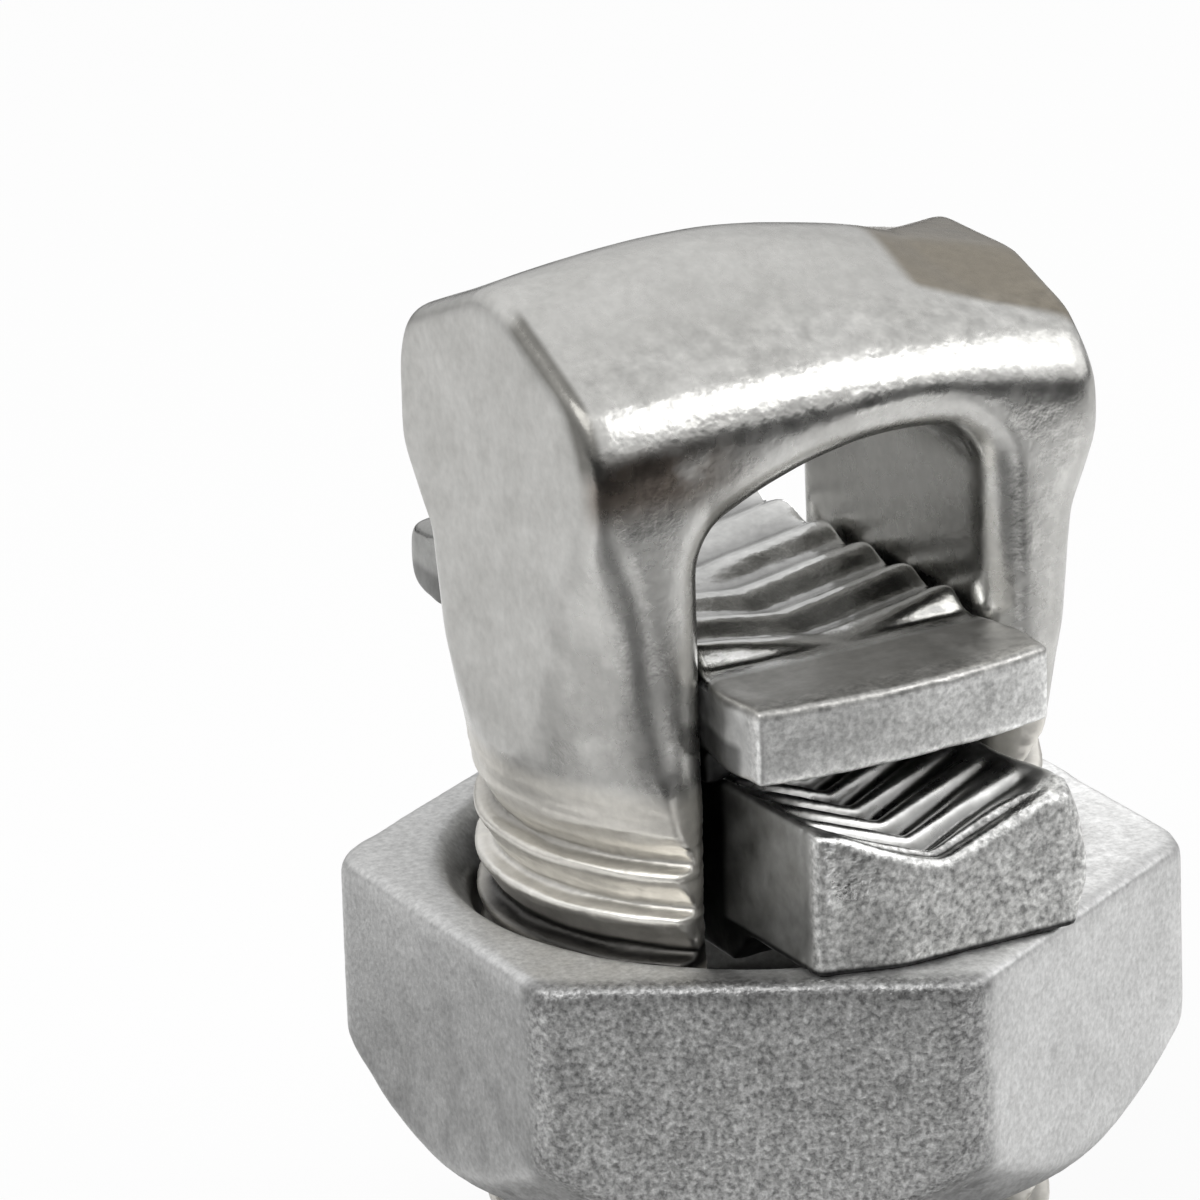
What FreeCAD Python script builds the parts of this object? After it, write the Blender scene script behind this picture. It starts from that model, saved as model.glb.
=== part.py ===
import FreeCAD, Part
import os
import Sketcher
from FreeCAD import Vector

# Split bolt connector for stranded line conductors, millimetres, +Z up.
# Origin: on the floor under the leg ends, on the thread axis.
# X runs across the slot from leg to leg, Y runs along the conductor, Z up the thread.
# Four loose pieces: the forked bolt, the spacer bar, the pressure bar and the hexagon nut.

doc = FreeCAD.newDocument("split_bolt_connector")
sheet = doc.addObject("Spreadsheet::Sheet", "sizes")

SIZES = (
    ("bolt_length_x", 22.6, "head, from one flat end face to the other"),
    ("bolt_width_y", 15.0, "head and legs, front face to back face"),
    ("leg_tail", 10.0, "leg left below the nut"),
    ("thread_diameter", 22.0, "major diameter of the leg thread"),
    ("thread_top", 25.4, "height at which the thread runs out"),
    ("shank_diameter", 23.7, "leg just above the run-out"),
    ("shank_drop", 16.4, "end of the run-out cone, below the roof ridge"),
    ("neck_diameter", 24.4, "leg under the head"),
    ("neck_drop", 12.0, "start of the leg's swelling, below the ridge"),
    ("swell_diameter", 26.2, "leg part of the way up the swelling"),
    ("swell_drop", 9.3, "place of that diameter, below the ridge"),
    ("brow_diameter", 27.8, "end of the swelling, clear of the head corners"),
    ("brow_drop", 6.0, "end of the swelling, below the ridge"),
    ("end_chamfer", 0.9, "leg ends"),
    ("slot_width", 12.4, "gap between the legs"),
    ("crown_drop", 7.7, "highest point of the slot, below the ridge"),
    ("crown_radius", 16.3, "arch of the slot"),
    ("crown_shift", 2.4, "forged arch peaks this far off the axis"),
    ("slot_corner", 2.2, "rounding where arch meets leg"),
    ("slot_rim", 1.7, "rounding of the slot edges, front and back"),
    ("ridge_height", 46.6, "highest point of the roof ridge, before rounding"),
    ("ridge_radius", 29.7, "arch of the ridge along X"),
    ("ridge_shift", 4.0, "highest point of the ridge off the axis, away from the boss"),
    ("ridge_round", 4.0, "rounding along the ridge"),
    ("eaves_drop", 0.456, "level front eaves below the ridge's lower end, before rounding"),
    ("eaves_lift", 0.8, "back eaves above the front ones"),
    ("eaves_round", 3.1, "rounding along the eaves"),
    ("end_round", 0.8, "rounding between roof and end faces"),
    ("boss_start", 6.0, "inner end of the raised boss on the roof"),
    ("boss_top", 2.15, "top of the raised boss at its inner end, below the ridge's highest point"),
    ("boss_drop", 1.05, "boss top falls by this much to the end face"),
    ("boss_tip", 0.6, "flat top of the boss along Y, at its inner end"),
    ("boss_width", 5.5, "flat top of the boss along Y, at the end face"),
    ("boss_lean", 1.1, "boss top stands off the middle by this much at the end face"),
    ("boss_inner_brow", 2.6, "lower edge of the boss's flank from the middle, at its inner end"),
    ("boss_inner_fall", 3.1, "that edge below the ridge's highest point"),
    ("boss_outer_brow", 5.6, "lower edge of the boss's flank from the middle, at the end face"),
    ("boss_outer_fall", 4.6, "that edge below the ridge's highest point"),
    ("boss_spread", 6.4, "foot of the boss from the middle"),
    ("boss_foot", 5.7, "foot of the boss inside the head, below the ridge's highest point"),
    ("nut_flats", 28.6, "across the flats"),
    ("nut_height", 10.8, "thickness"),
    ("nut_turn", -1.6, "how far the nut stands off square, in degrees"),
    ("nut_edge_round", 1.6, "rounding of the six upright edges"),
    ("nut_bottom_diameter", 27.2, "circle left on the underside"),
    ("nut_bevel_height", 3.6, "height of the underside bevel at the corners"),
    ("nut_top_bevel", 0.3, "bevel of the corners on the seat side"),
    ("thread_play", 0.2, "nut bore over the thread, on the radius"),
    ("nut_mouth", 24.8, "countersink at the top of the bore"),
    ("nut_mouth_depth", 1.5, "depth of that countersink"),
    ("bar_width", 10.4, "pressure bar across the slot"),
    ("bar_length", 27.7, "pressure bar along Y"),
    ("bar_height", 5.7, "pressure bar above the nut"),
    ("bar_rim", 0.45, "flat rim each side of the pressure bar's trough"),
    ("bar_trough", 1.75, "depth of the trough"),
    ("pilot_length", 15.8, "pilot that hangs in the nut bore, along Y"),
    ("pilot_slant", 1.2, "how far each end of the pilot slants in"),
    ("pilot_depth", 1.35, "pilot below the nut face"),
    ("bar_corner", 1.6, "upright corners of the pressure bar"),
    ("bar_pitch", 1.9, "spacing of the pressure bar's teeth"),
    ("bar_tooth", 0.75, "depth of the pressure bar's teeth"),
    ("bar_fade", 0.8, "share of that depth that the teeth lose towards the rims"),
    ("bar_teeth", 13, "notches in the pressure bar"),
    ("spacer_width", 11.9, "spacer bar across the slot"),
    ("spacer_length", 26.8, "spacer bar along Y, at its corners"),
    ("spacer_shift", 2.45, "spacer bar pushed back from the middle"),
    ("spacer_plate", 3.05, "thickness of the lips"),
    ("spacer_wear", 1.0, "rounding of the back end, above and below"),
    ("spacer_web", 1.5, "skirt below the lips"),
    ("spacer_rise", 0.9, "jaw rim above the lips"),
    ("spacer_rim", 0.6, "flat rim along the skirt"),
    ("jaw_length", 17.3, "toothed length of the spacer bar"),
    ("jaw_ramp", 1.0, "slope at each end of the upper jaw, along Y"),
    ("wing_span", 13.2, "lips at their widest"),
    ("wing_place", 2.2, "widest point of the lip from its end"),
    ("wing_root", 8.3, "where the lip starts to widen, from the bar's middle"),
    ("lip_width", 12.8, "lips at their ends"),
    ("lip_bow", 32.0, "bowed ends of the lips"),
    ("spacer_pitch", 3.0, "spacing of the spacer bar's teeth"),
    ("spacer_tooth", 0.6, "depth of the spacer bar's teeth"),
    ("spacer_teeth", 5, "notches in each face of the spacer bar"),
    ("tooth_land", 0.25, "flat left on each tooth"),
)

for row, (alias, value, note) in enumerate(SIZES, start=1):
    sheet.set(f"A{row}", note)
    sheet.set(f"B{row}", str(value))
    sheet.setAlias(f"B{row}", alias)
doc.recompute()


def size(name):
    """A driving dimension, as the sheet holds it."""
    return float(sheet.get(name))


def bind(target, prop, text):
    """Tie a property to the sheet; sizes in the text carry the sheet's name."""
    target.setExpression(prop, text)


def plane(body, role):
    """One of the body's own origin planes or axes."""
    return next(item for item in body.Origin.OriginFeatures if item.Role == role)


def new_body(name, height="0"):
    body = doc.addObject("PartDesign::Body", name)
    body.Label = name
    bind(body, "Placement.Base.z", height)
    return body


def new_sketch(body, name, role, offset=None):
    sketch = body.newObject("Sketcher::SketchObject", name)
    sketch.AttachmentSupport = [(plane(body, role), "")]
    sketch.MapMode = "FlatFace"
    if offset:
        bind(sketch, "AttachmentOffset.Base.z", offset)
    return sketch


def pin(sketch, geometry, end, across, up):
    """Fix one end of an edge at a place given by two expressions."""
    for kind, text in (("DistanceX", across), ("DistanceY", up)):
        value = sketch.evalExpression(text)
        index = sketch.addConstraint(Sketcher.Constraint(kind, -1, 1, geometry, end, float(value)))
        bind(sketch, f"Constraints[{index}]", text)


def outline(sketch, points, bulges=None):
    """A closed run through points, each a pair of expressions.

    Its edges are straight, but for those that bulges names with a radius: arcs that swell to the
    right of the run, or to its left where the radius has a minus sign.
    """
    places = [Vector(float(sketch.evalExpression(a)), float(sketch.evalExpression(b)), 0) for a, b in points]
    bulges = bulges or {}
    count = len(points)
    for index in range(count):
        start, end = places[index], places[(index + 1) % count]
        if index in bulges:
            radius = float(sketch.evalExpression(bulges[index]))
            chord = end - start
            outward = Vector(chord.y, -chord.x, 0).normalize() * (1 if radius > 0 else -1)
            sagitta = abs(radius) - (radius ** 2 - (chord.Length / 2) ** 2) ** 0.5
            edge = Part.Arc(start, (start + end) / 2 + outward * sagitta, end)
        else:
            edge = Part.LineSegment(start, end)
        sketch.addGeometry(edge, False)
    # An arc that swells to the left keeps its ends the other way round.
    starts = [2 if bulges.get(index, "").startswith("-") else 1 for index in range(count)]
    for index in range(count):
        after = (index + 1) % count
        sketch.addConstraint(Sketcher.Constraint("Coincident", index, 3 - starts[index], after, starts[after]))
        pin(sketch, index, starts[index], *points[index])
    for index, text in bulges.items():
        text = text.lstrip("-")
        radius = float(sketch.evalExpression(text))
        number = sketch.addConstraint(Sketcher.Constraint("Radius", index, radius))
        bind(sketch, f"Constraints[{number}]", text)


def add(body, kind, name, sketch, **settings):
    feature = body.newObject(f"PartDesign::{kind}", name)
    feature.Profile = sketch
    for key, value in settings.items():
        setattr(feature, key, value)
    return feature


def dress(body, kind, name, base, edges, prop, text):
    """A fillet or chamfer on edges of the feature built last."""
    feature = body.newObject(f"PartDesign::{kind}", name)
    feature.Base = (base, edges)
    bind(feature, prop, text)
    return feature


# Edges are told apart by these: what counts as in one plane, and as too short to round.
TOUCH = 0.01
SHORT = 0.3


def edge_names(feature, test):
    """Names of the edges of a feature that pass a test."""
    return [f"Edge{n}" for n, edge in enumerate(feature.Shape.Edges, start=1) if test(edge)]


def spans(edge, axis):
    """Length of the edge's box along one axis."""
    box = edge.BoundBox
    return {"x": box.XLength, "y": box.YLength, "z": box.ZLength}[axis]


def upright(edge):
    return spans(edge, "z") > SHORT and spans(edge, "x") < TOUCH and spans(edge, "y") < TOUCH


# The forked bolt: a bar with a crowned roof, turned below the head and split by the slot.
bolt = new_body("split_bolt")
half = "sizes.bolt_width_y / 2"
bar_plan = new_sketch(bolt, "forged_plan", "XY_Plane")
outline(bar_plan, (
    ("-sizes.bolt_length_x / 2", f"-{half}"),
    ("sizes.bolt_length_x / 2", f"-{half}"),
    ("sizes.bolt_length_x / 2", half),
    ("-sizes.bolt_length_x / 2", half),
))
block = add(bolt, "Pad", "forged_bar", bar_plan)
bind(block, "Length", "sizes.ridge_height")
doc.recompute()


def ridge_at(station):
    """Height of the arched ridge, before rounding, at a place along X."""
    arch = f"sizes.ridge_radius - sqrt(sizes.ridge_radius ^ 2 - ({station} + sizes.ridge_shift) ^ 2)"
    return f"(sizes.ridge_height - ({arch}))"


# The roof falls from an arched ridge to level eaves; the body that cuts it is lofted along X.
SECTIONS = 4
OVERRUN_RATIO = 1.1
eaves_height = f"({ridge_at('sizes.bolt_length_x / 2')} - sizes.eaves_drop)"
roof_sections = []
for number in range(SECTIONS):
    station = f"({number} / {SECTIONS - 1} - 0.5) * sizes.bolt_length_x * {OVERRUN_RATIO}"
    ridge = ridge_at(station)
    rise = f"({ridge} - {eaves_height})"
    back_rise = f"({rise} - sizes.eaves_lift)"
    slope = f"atan({rise} / ({half}))"
    back_slope = f"atan({back_rise} / ({half}))"
    reach = f"sizes.ridge_round * tan(({slope} + {back_slope}) / 2)"
    section = new_sketch(bolt, f"roof_section_{number + 1}", "YZ_Plane", station)
    outline(section, (
        (f"{half} * {OVERRUN_RATIO}", f"{ridge} - {back_rise} * {OVERRUN_RATIO}"),
        (f"{half} * {OVERRUN_RATIO}", f"sizes.ridge_height * {OVERRUN_RATIO}"),
        (f"-{half} * {OVERRUN_RATIO}", f"sizes.ridge_height * {OVERRUN_RATIO}"),
        (f"-{half} * {OVERRUN_RATIO}", f"{ridge} - {rise} * {OVERRUN_RATIO}"),
        (f"-({reach} * cos({slope}))", f"{ridge} - {reach} * sin({slope})"),
        (f"{reach} * cos({back_slope})", f"{ridge} - {reach} * sin({back_slope})"),
    ), {4: "-sizes.ridge_round"})
    roof_sections.append(section)
roofed = add(bolt, "SubtractiveLoft", "crowned_roof", roof_sections[0], Sections=roof_sections[1:])
doc.recompute()

half_width = size("bolt_width_y") / 2
half_length = size("bolt_length_x") / 2
eaves_level = float(block.evalExpression(eaves_height))


def on_face(edge, axis, place):
    """Whether an edge lies wholly in the plane at that place along the axis."""
    box = edge.BoundBox
    low, high = {"x": (box.XMin, box.XMax), "y": (box.YMin, box.YMax)}[axis]
    return abs(low - place) < TOUCH and abs(high - place) < TOUCH


def eave(edge):
    """Long edges between the roof and the front and back faces."""
    lengthwise = spans(edge, "x") > half_length and edge.BoundBox.ZMin > eaves_level / 2
    return lengthwise and (on_face(edge, "y", half_width) or on_face(edge, "y", -half_width))


eaves = dress(bolt, "Fillet", "eaves_rounding", roofed, edge_names(roofed, eave),
              "Radius", "sizes.eaves_round")
doc.recompute()


def roof_end(edge):
    """Edges between the roof and the flat end faces."""
    at_end = on_face(edge, "x", half_length) or on_face(edge, "x", -half_length)
    return at_end and edge.BoundBox.ZMax > eaves_level and spans(edge, "y") > SHORT


dress(bolt, "Fillet", "end_rounding", eaves, edge_names(eaves, roof_end), "Radius", "sizes.end_round")
doc.recompute()

# The slot for the conductors, open at the leg ends and arched under the head.
slot = new_sketch(bolt, "slot_outline", "XZ_Plane")
half_slot = size("slot_width") / 2
crown_level = size("ridge_height") - size("crown_drop")
crown = Vector(size("crown_shift"), crown_level, 0)
middle = Vector(crown.x, crown.y - size("crown_radius"), 0)


def arch_height(x):
    return middle.y + (size("crown_radius") ** 2 - (x - middle.x) ** 2) ** 0.5


corners = (Vector(-half_slot, -1, 0), Vector(half_slot, -1, 0),
           Vector(half_slot, arch_height(half_slot), 0), Vector(-half_slot, arch_height(-half_slot), 0))
slot.addGeometry(Part.LineSegment(corners[3], corners[0]), False)
slot.addGeometry(Part.LineSegment(corners[0], corners[1]), False)
slot.addGeometry(Part.LineSegment(corners[1], corners[2]), False)
slot.addGeometry(Part.Arc(corners[2], crown, corners[3]), False)
for one, other in ((0, 1), (1, 2), (2, 3), (3, 0)):
    slot.addConstraint(Sketcher.Constraint("Coincident", one, 2, other, 1))
slot.addConstraint(Sketcher.Constraint("Vertical", 0))
slot.addConstraint(Sketcher.Constraint("Vertical", 2))
pin(slot, 1, 1, "-sizes.slot_width / 2", "-1")
pin(slot, 1, 2, "sizes.slot_width / 2", "-1")
pin(slot, 3, 3, "sizes.crown_shift", "sizes.ridge_height - sizes.crown_drop - sizes.crown_radius")
radius = slot.addConstraint(Sketcher.Constraint("Radius", 3, size("crown_radius")))
bind(slot, f"Constraints[{radius}]", "sizes.crown_radius")
slotted = add(bolt, "Pocket", "conductor_slot", slot, Type="ThroughAll", Midplane=True)
doc.recompute()


def slot_corner(edge):
    """Edges along Y where the arch meets the legs."""
    at_leg = on_face(edge, "x", half_slot) or on_face(edge, "x", -half_slot)
    return at_leg and spans(edge, "y") > half_width and edge.BoundBox.ZMin > size("thread_top")


rounded_arch = dress(bolt, "Fillet", "arch_corners", slotted, edge_names(slotted, slot_corner),
                     "Radius", "sizes.slot_corner")
doc.recompute()


def slot_edge(edge):
    """Edges of the slot in the front and back faces."""
    box = edge.BoundBox
    inside = max(abs(box.XMin), abs(box.XMax)) < half_slot + TOUCH and box.ZMax < crown_level + TOUCH
    return inside and (on_face(edge, "y", half_width) or on_face(edge, "y", -half_width)) and box.ZMax > SHORT


dress(bolt, "Fillet", "slot_rims", rounded_arch, edge_names(rounded_arch, slot_edge),
      "Radius", "sizes.slot_rim")
doc.recompute()

# Below the head corners everything is turned, down to the thread and the leg ends.
turning = new_sketch(bolt, "turned_outline", "XZ_Plane")
outline(turning, (
    ("sizes.thread_diameter / 2 - sizes.end_chamfer", "-1"),
    ("sizes.thread_diameter / 2 - sizes.end_chamfer", "0"),
    ("sizes.thread_diameter / 2", "sizes.end_chamfer"),
    ("sizes.thread_diameter / 2", "sizes.thread_top"),
    ("sizes.shank_diameter / 2", "sizes.ridge_height - sizes.shank_drop"),
    ("sizes.neck_diameter / 2", "sizes.ridge_height - sizes.neck_drop"),
    ("sizes.swell_diameter / 2", "sizes.ridge_height - sizes.swell_drop"),
    ("sizes.brow_diameter / 2", "sizes.ridge_height - sizes.brow_drop"),
    ("sizes.brow_diameter", "sizes.ridge_height - sizes.brow_drop"),
    ("sizes.brow_diameter", "-1"),
))
add(bolt, "Groove", "turned_legs", turning, Angle=360.0, ReferenceAxis=(plane(bolt, "Z_Axis"), [""]))
doc.recompute()


def boss_section(name, station, top, width, lean, brow, fall):
    """Upright section of the raised boss, wider towards its foot; heights count down from the ridge."""
    section = new_sketch(bolt, name, "YZ_Plane", station)
    outline(section, (
        (f"{lean} + {width} / 2", f"sizes.ridge_height - ({top})"),
        (f"{lean} - {width} / 2", f"sizes.ridge_height - ({top})"),
        (f"-{brow}", f"sizes.ridge_height - {fall}"),
        ("-sizes.boss_spread", "sizes.ridge_height - sizes.boss_foot"),
        ("sizes.boss_spread", "sizes.ridge_height - sizes.boss_foot"),
        (brow, f"sizes.ridge_height - {fall}"),
    ))
    return section


# A raised boss on the roof's right end, narrow where it leaves the ridge.
boss_inner = boss_section("boss_inner_end", "sizes.boss_start", "sizes.boss_top", "sizes.boss_tip", "0",
                          "sizes.boss_inner_brow", "sizes.boss_inner_fall")
boss_outer = boss_section("boss_outer_end", "sizes.bolt_length_x / 2", "sizes.boss_top + sizes.boss_drop",
                          "sizes.boss_width", "sizes.boss_lean",
                          "sizes.boss_outer_brow", "sizes.boss_outer_fall")
add(bolt, "AdditiveLoft", "raised_boss", boss_inner, Sections=[boss_outer], Ruled=True)
doc.recompute()

# The hexagon nut: cast, with rounded upright edges and a bevelled underside.
nut = new_body("hex_nut", "sizes.leg_tail")
bind(nut, "Placement.Rotation.Angle", "sizes.nut_turn")
plan = new_sketch(nut, "hexagon", "XY_Plane")
reach = "sizes.nut_flats / 2 / cos(30)"
outline(plan, [(f"{reach} * cos({angle})", f"{reach} * sin({angle})") for angle in range(30, 390, 60)])
prism = add(nut, "Pad", "nut_blank", plan)
bind(prism, "Length", "sizes.nut_height")
doc.recompute()
dress(nut, "Fillet", "nut_edges", prism, edge_names(prism, upright), "Radius", "sizes.nut_edge_round")
doc.recompute()
bevel = new_sketch(nut, "bevel_outline", "XZ_Plane")
beyond = "sizes.nut_flats * 0.7"
outline(bevel, (
    ("sizes.nut_bottom_diameter / 2", "0"),
    (f"{reach}", "sizes.nut_bevel_height"),
    (f"{reach}", "sizes.nut_height - sizes.nut_top_bevel"),
    (f"{reach} - sizes.nut_top_bevel * 3", "sizes.nut_height"),
    (beyond, "sizes.nut_height * 1.1"),
    (beyond, "-sizes.nut_height * 0.1"),
    ("sizes.nut_bottom_diameter / 2", "-sizes.nut_height * 0.1"),
))
add(nut, "Groove", "nut_bevels", bevel, Angle=360.0, ReferenceAxis=(plane(nut, "Z_Axis"), [""]))
bore = new_sketch(nut, "bore_outline", "XZ_Plane")
bore_radius = "(sizes.thread_diameter / 2 + sizes.thread_play)"
outline(bore, (
    ("0", "-1"),
    (f"{bore_radius} + 1", "-1"),
    (f"{bore_radius} + 1", "0"),
    (bore_radius, "1"),
    (bore_radius, "sizes.nut_height - sizes.nut_mouth_depth"),
    ("sizes.nut_mouth / 2", "sizes.nut_height"),
    ("sizes.nut_mouth / 2", "sizes.nut_height + 1"),
    ("0", "sizes.nut_height + 1"),
))
add(nut, "Groove", "threaded_bore", bore, Angle=360.0, ReferenceAxis=(plane(nut, "Z_Axis"), [""]))
doc.recompute()


def notch_row(body, name, first, floor, rise, width, depth, count, pitch, upward, climb):
    """Teeth across a V-shaped jaw: one notch cut along each flank of the V, repeated along Y.

    The V's middle line is at floor, its flanks climb by rise over width, and the notches go
    down from it, or up into the piece where the jaw faces down. They climb by climb over width,
    so they run out at the rim where that is rise and depth together.
    """
    away = 1 if upward else -1
    side = f"(({pitch}) - sizes.tooth_land) / 2"
    flanks = []
    for hand in (1, -1):
        profile = new_sketch(body, f"{name}_notch_{'right' if hand > 0 else 'left'}", "YZ_Plane")
        points = (
            (f"{first} - {side} * 1.5", f"{floor} + {away} * {depth} * 0.5"),
            (first, f"{floor} - {away} * {depth}"),
            (f"{first} + {side} * 1.5", f"{floor} + {away} * {depth} * 0.5"),
        )
        outline(profile, points)
        cut = add(body, "Pocket", f"{name}_flank_{'right' if hand > 0 else 'left'}", profile,
                  UseCustomVector=True, AlongSketchNormal=False)
        cut.Direction = Vector(hand * float(profile.evalExpression(width)), 0,
                               away * float(profile.evalExpression(climb)))
        bind(cut, "Direction.x", f"{hand} * {width}")
        bind(cut, "Direction.z", f"{away} * ({climb})")
        bind(cut, "Length", f"{width} * 1.6")
        flanks.append(cut)
    row = body.newObject("PartDesign::LinearPattern", f"{name}_teeth")
    row.Originals = flanks
    row.Direction = (plane(body, "Y_Axis"), [""])
    bind(row, "Length", f"({count} - 1) * {pitch}")
    bind(row, "Occurrences", count)
    body.Tip = row


# The pressure bar: rests on the nut, with a pilot in the bore and a toothed trough on top.
bar = new_body("pressure_bar", "sizes.leg_tail + sizes.nut_height")
side_view = new_sketch(bar, "bar_side", "YZ_Plane")
underside = [
    ("-sizes.bar_length / 2", "0"),
    ("-sizes.pilot_length / 2", "0"),
    ("-(sizes.pilot_length / 2 - sizes.pilot_slant)", "-sizes.pilot_depth"),
]
underside += [(across[1:], up) for across, up in reversed(underside)]
outline(side_view, underside + [
    ("sizes.bar_length / 2", "sizes.bar_height"),
    ("-sizes.bar_length / 2", "sizes.bar_height"),
])
bar_blank = add(bar, "Pad", "bar_blank", side_view, Midplane=True)
bind(bar_blank, "Length", "sizes.bar_width")
doc.recompute()
dress(bar, "Fillet", "bar_corners", bar_blank, edge_names(bar_blank, upright), "Radius", "sizes.bar_corner")
trough = new_sketch(bar, "trough_outline", "XZ_Plane")
trough_half = "(sizes.bar_width / 2 - sizes.bar_rim)"
outline(trough, (
    ("0", "sizes.bar_height - sizes.bar_trough"),
    (trough_half, "sizes.bar_height"),
    (trough_half, "sizes.bar_height * 1.3"),
    (f"-{trough_half}", "sizes.bar_height * 1.3"),
    (f"-{trough_half}", "sizes.bar_height"),
))
add(bar, "Pocket", "cable_trough", trough, Type="ThroughAll", Midplane=True)
doc.recompute()
notch_row(bar, "bar", "-(sizes.bar_teeth - 1) / 2 * sizes.bar_pitch",
          "(sizes.bar_height - sizes.bar_trough)", "sizes.bar_trough", trough_half,
          "sizes.bar_tooth", "sizes.bar_teeth", "sizes.bar_pitch", True,
          "sizes.bar_trough + sizes.bar_tooth * sizes.bar_fade")
doc.recompute()

# The spacer bar: lips that flare round the leg edges, and a V-shaped toothed jaw on each face.
spacer = new_body("spacer_bar", "sizes.leg_tail + sizes.nut_height + sizes.bar_height")
bind(spacer, "Placement.Base.y", "sizes.spacer_shift")
lips = new_sketch(spacer, "lip_plan", "XY_Plane", "sizes.spacer_web")
quarter = (
    ("sizes.spacer_width / 2", "sizes.wing_root"),
    ("sizes.wing_span / 2", "(sizes.spacer_length / 2 - sizes.wing_place)"),
    ("sizes.lip_width / 2", "sizes.spacer_length / 2"),
)
front_right = [(across, f"-{up}") for across, up in reversed(quarter)]
right_run = front_right + list(quarter)
right_end, left_end = len(right_run) - 1, 2 * len(right_run) - 1
outline(lips, right_run + [(f"-{across}", up) for across, up in reversed(right_run)],
        {right_end: "sizes.lip_bow", left_end: "sizes.lip_bow"})
plate = add(spacer, "Pad", "lip_plate", lips)
bind(plate, "Length", "sizes.spacer_plate")
doc.recompute()


def back_edge(edge):
    """Bowed edges above and below the lip's back end."""
    box = edge.BoundBox
    return box.YMin > size("spacer_length") / 2 - SHORT and box.ZLength < TOUCH and box.XLength > half_width


dress(spacer, "Fillet", "worn_back_end", plate, edge_names(plate, back_edge), "Radius", "sizes.spacer_wear")
jaw = new_sketch(spacer, "jaw_section", "XZ_Plane")
lip_top = "(sizes.spacer_web + sizes.spacer_plate)"
jaw_half = "sizes.spacer_width / 2"
skirt_half = "(sizes.spacer_width / 2 - sizes.spacer_rim)"
outline(jaw, (
    ("0", "sizes.spacer_web"),
    (skirt_half, "0"),
    (jaw_half, "0"),
    (jaw_half, f"{lip_top} + sizes.spacer_rise"),
    ("0", lip_top),
    (f"-{jaw_half}", f"{lip_top} + sizes.spacer_rise"),
    (f"-{jaw_half}", "0"),
    (f"-{skirt_half}", "0"),
))
jaws = add(spacer, "Pad", "jaw_block", jaw, Midplane=True)
bind(jaws, "Length", "sizes.jaw_length")
for hand, end in (("", "back"), ("-", "front")):
    ramp = new_sketch(spacer, f"{end}_ramp_outline", "YZ_Plane")
    outline(ramp, (
        (f"{hand}sizes.jaw_length / 2", lip_top),
        (f"{hand}(sizes.jaw_length / 2 + sizes.jaw_ramp)", f"{lip_top} + sizes.spacer_rise"),
        (f"{hand}(sizes.jaw_length / 2 - sizes.jaw_ramp)", f"{lip_top} + sizes.spacer_rise"),
    ))
    add(spacer, "Pocket", f"{end}_ramp", ramp, Type="ThroughAll", Midplane=True)
doc.recompute()
start = "-(sizes.spacer_teeth - 1) / 2 * sizes.spacer_pitch"
notch_row(spacer, "upper", start, lip_top, "sizes.spacer_rise", jaw_half,
          "sizes.spacer_tooth", "sizes.spacer_teeth", "sizes.spacer_pitch", True, "sizes.spacer_rise")
notch_row(spacer, "lower", start, "sizes.spacer_web", "sizes.spacer_web", skirt_half,
          "sizes.spacer_tooth", "sizes.spacer_teeth", "sizes.spacer_pitch", False, "sizes.spacer_web")
doc.recompute()

faults = [item.Label for item in doc.Objects if "Invalid" in item.State or "Error" in item.State]
if faults:
    raise RuntimeError("not built: " + ", ".join(faults))

os.makedirs("parts", exist_ok=True)
for body in (bolt, spacer, bar, nut):
    shape = body.Shape
    if shape.isNull() or not shape.isValid() or len(shape.Solids) != 1:
        raise RuntimeError("no sound solid: " + body.Label)
    shape.exportStep(f"parts/{body.Label}.step")
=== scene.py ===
"""A split bolt connector with its tinned and blasted surfaces, threads and serrated jaws.

Sizes and places are in millimetres, colours and levels are linear, and heights are z.
"""

import math

import bmesh
import bpy
import numpy as np
from mathutils import Matrix, Vector, noise


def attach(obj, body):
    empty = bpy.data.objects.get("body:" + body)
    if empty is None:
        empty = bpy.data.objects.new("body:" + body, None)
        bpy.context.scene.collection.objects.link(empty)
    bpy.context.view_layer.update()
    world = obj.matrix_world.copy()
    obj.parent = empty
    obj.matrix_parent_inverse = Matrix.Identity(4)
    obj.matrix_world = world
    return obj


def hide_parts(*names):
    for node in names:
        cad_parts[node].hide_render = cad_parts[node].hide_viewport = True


MM = 0.001

# camera: its place, and its axes as rows of right, up and back
CAMERA_PLACE = (-181.381, -306.584, 161.191)
CAMERA_RIGHT = (0.86308, -0.504178, -0.029955)
CAMERA_UP = (0.197433, 0.282198, 0.938821)
CAMERA_BACK = (-0.464879, -0.816192, 0.343101)
CAMERA_LENS = 296.98
CAMERA_SENSOR = 36

# groove of the leg thread
PITCH = 1.8
MOUTH_RADIUS = 11.1
ROOT_RADIUS = 10.2
MOUTH_WIDTH = 1.66
ROOT_WIDTH = 0.1
ROOT_LEAN = 0.85  # share of a flank's height by which the root sits lower than the mouth
GROOVE_BOTTOM = -1.68
GROOVE_TOP = 26.52
RUN_OUT = 0.6  # turns over which the groove ends at its top
RUN_OUT_MOUTH = 0.03  # half widths that are left at that end
RUN_OUT_ROOT = 0.02
TURN_STEPS = 72

# size of the even meshes' faces, and the share of them that is kept
BOLT_VOXEL, BOLT_KEPT = 0.14, 0.26
NUT_VOXEL, NUT_KEPT = 0.22, 0.6
JAW_VOXEL, JAW_KEPT = 0.13, 0.5

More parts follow.
